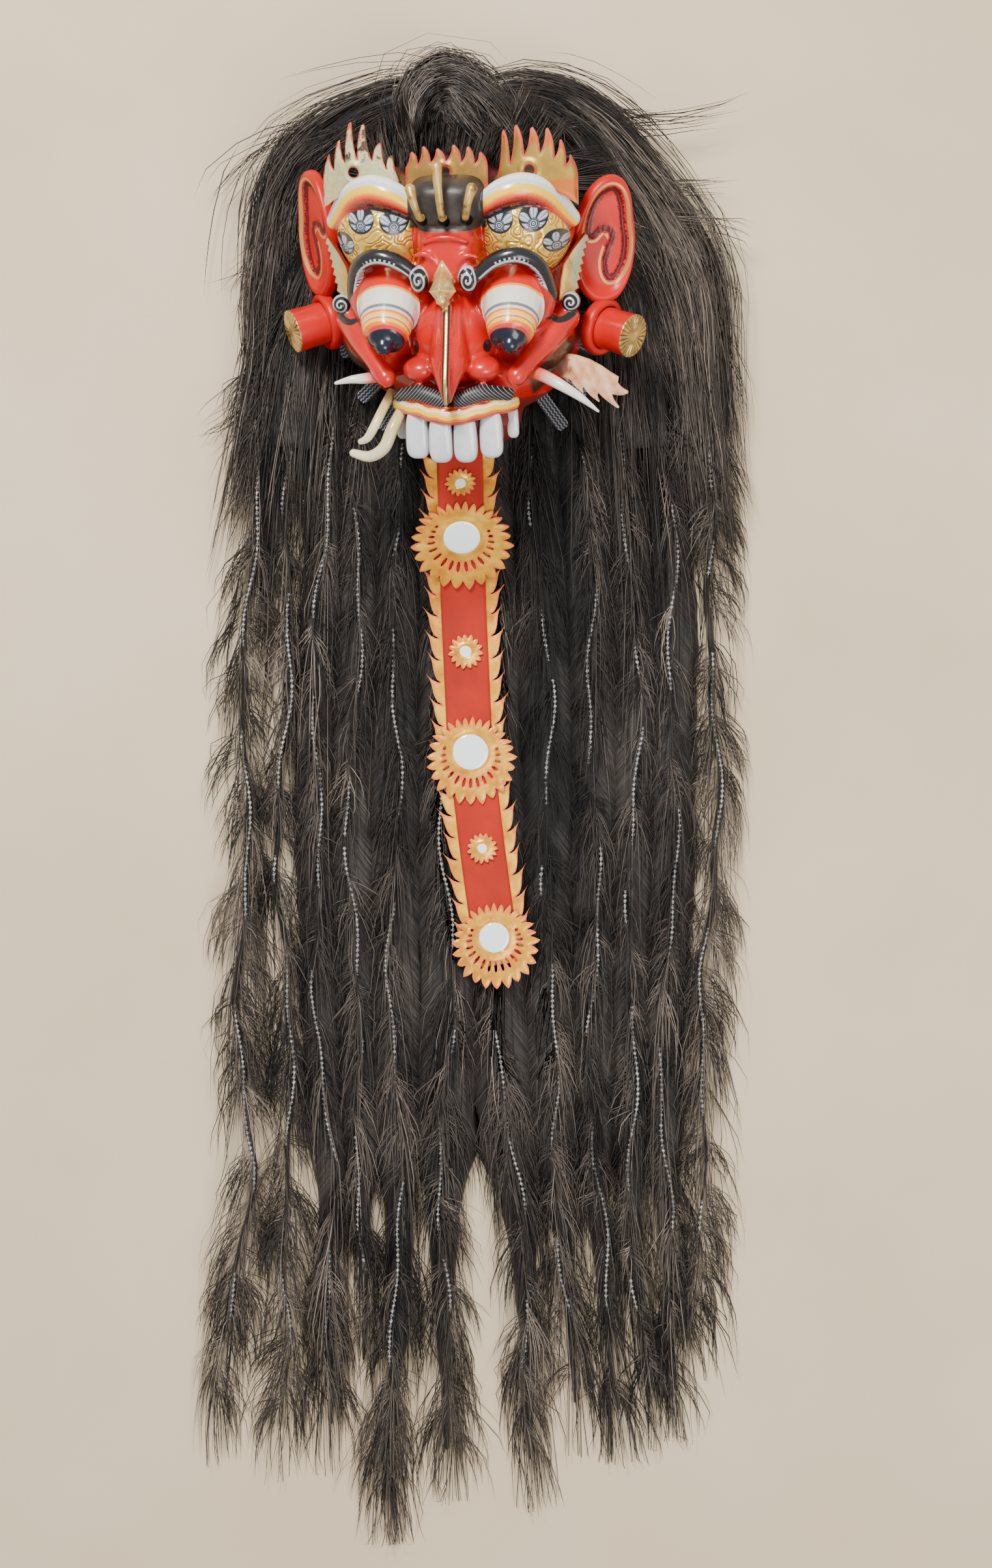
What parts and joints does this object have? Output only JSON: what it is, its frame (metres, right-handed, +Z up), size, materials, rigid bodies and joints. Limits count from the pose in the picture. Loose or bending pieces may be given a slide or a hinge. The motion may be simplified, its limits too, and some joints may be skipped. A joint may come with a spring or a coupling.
{
  "type": "rangda mask",
  "caption": "Carved demon mask with bulging eyes, tusks and gilded leather flames, a long leather tongue with mirrors, and a long dark mane, lying face up on its hair.",
  "frame": {"origin": "on the flat underside of the hair cap, under the top rim of the face", "axes": "+Z up out of the face as it lies, +Y along the hair towards the top of the head, +X to the right of the picture"},
  "size_m": [0.4947, 1.3625, 0.2396],
  "materials": {
    "carved_face": "glossy red paint with painted and gilded ornament",
    "ears": "glossy red paint",
    "ear_plugs": "glossy red paint, gilded ends",
    "crown_leather": "worn gilding with red edges",
    "temple_leather": "worn gilding",
    "teeth": "polished white shell or bone",
    "upper_tusks": "polished boar tusk, red at the root",
    "lower_tusks": "polished yellowed boar tusk",
    "hooks": "worn gilding over rolled leather",
    "cheek_leather": "pink ground with worn gilding",
    "beard_leather": "black paint with white lines",
    "tongue_gilding": "gilded, with orange edges",
    "tongue_velvet": "red velvet",
    "rosettes": "gilded",
    "mirrors": "polished",
    "hair": "dark brown black hair"
  },
  "bodies": {
    "root": {"beard_left": "beard_leather", "beard_right": "beard_leather", "cheek_flame_right": "cheek_leather", "crown_flame_centre": "crown_leather", "crown_flame_left": "crown_leather", "crown_flame_right": "crown_leather", "ear_left": "ears", "ear_plug_left": "ear_plugs", "ear_plug_right": "ear_plugs", "ear_right": "ears", "forehead_hook_centre": "hooks", "forehead_hook_left": "hooks", "forehead_hook_right": "hooks", "hair_cap": "hair", "hair_lock_01": "hair", "hair_lock_02": "hair", "hair_lock_03": "hair", "hair_lock_04": "hair", "hair_lock_05": "hair", "hair_lock_06": "hair", "hair_lock_07": "hair", "hair_lock_08": "hair", "hair_lock_09": "hair", "hair_lock_10": "hair", "hair_lock_11": "hair", "hair_lock_12": "hair", "hair_top_centre": "hair", "hair_top_left": "hair", "hair_top_right": "hair", "mask_shell": "carved_face", "mirror_large_1": "mirrors", "mirror_large_2": "mirrors", "mirror_large_3": "mirrors", "mirror_small_1": "mirrors", "mirror_small_2": "mirrors", "mirror_small_3": "mirrors", "rosette_large_1": "rosettes", "rosette_large_2": "rosettes", "rosette_large_3": "rosettes", "rosette_small_1": "rosettes", "rosette_small_2": "rosettes", "rosette_small_3": "rosettes", "temple_leaf_left": "temple_leather", "temple_leaf_right": "temple_leather", "tongue_leather": "tongue_gilding", "tongue_velvet": "tongue_velvet", "tooth_1": "teeth", "tooth_2": "teeth", "tooth_3": "teeth", "tooth_4": "teeth", "tooth_side_left": "teeth", "tooth_side_right": "teeth", "tusk_lower_left_inner": "lower_tusks", "tusk_lower_left_outer": "lower_tusks", "tusk_upper_left": "upper_tusks", "tusk_upper_right": "upper_tusks"}
  },
  "joints": []
}
